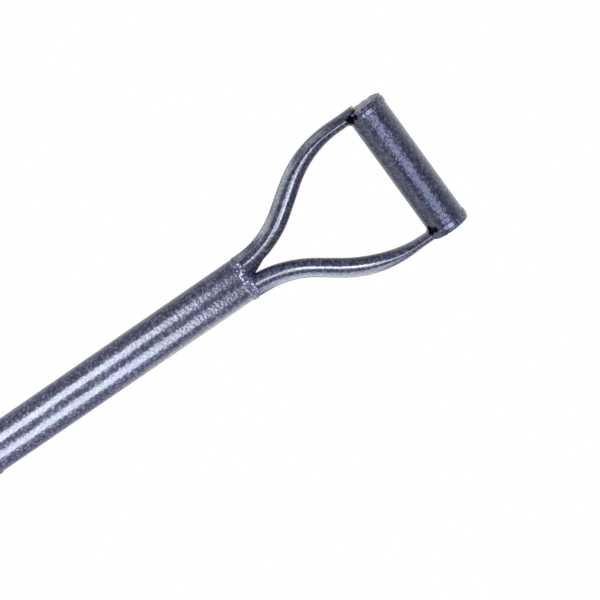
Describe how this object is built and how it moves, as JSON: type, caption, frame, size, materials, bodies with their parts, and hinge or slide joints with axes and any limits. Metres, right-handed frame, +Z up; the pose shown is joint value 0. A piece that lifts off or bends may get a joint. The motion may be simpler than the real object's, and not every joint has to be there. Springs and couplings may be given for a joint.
{
  "type": "post driver",
  "caption": "Hand post driver: long steel sleeve with an open mouth, a solid striker inside its top, and a welded D handle with a thick cross grip.",
  "frame": {"origin": "centre of the open mouth, at the tube's lower end", "axes": "+Z up the tube to the handle, the cross grip along X, the front of the handle towards -Y"},
  "size_m": [0.1305, 0.0396, 1.0953],
  "materials": {
    "tube_enamel": "gloss hammertone enamel, slate blue",
    "arm_enamel": "gloss hammertone enamel, slate blue",
    "grip_enamel": "gloss hammertone enamel, slate blue",
    "weld_enamel": "enamel over a rippled weld bead",
    "striker_steel": "bare steel, battered by posts"
  },
  "bodies": {
    "root": {"driver_tube": "tube_enamel", "striker": "striker_steel", "striker_plug_welds": "weld_enamel", "tube_end_weld": "weld_enamel", "left_handle_arm": "arm_enamel", "right_handle_arm": "arm_enamel", "arm_root_weld": "weld_enamel", "crotch_weld": "weld_enamel", "grip_tube": "grip_enamel", "left_grip_disc": "grip_enamel", "right_grip_disc": "grip_enamel", "left_disc_weld": "weld_enamel", "right_disc_weld": "weld_enamel", "left_arm_grip_weld": "weld_enamel", "right_arm_grip_weld": "weld_enamel"}
  },
  "joints": []
}
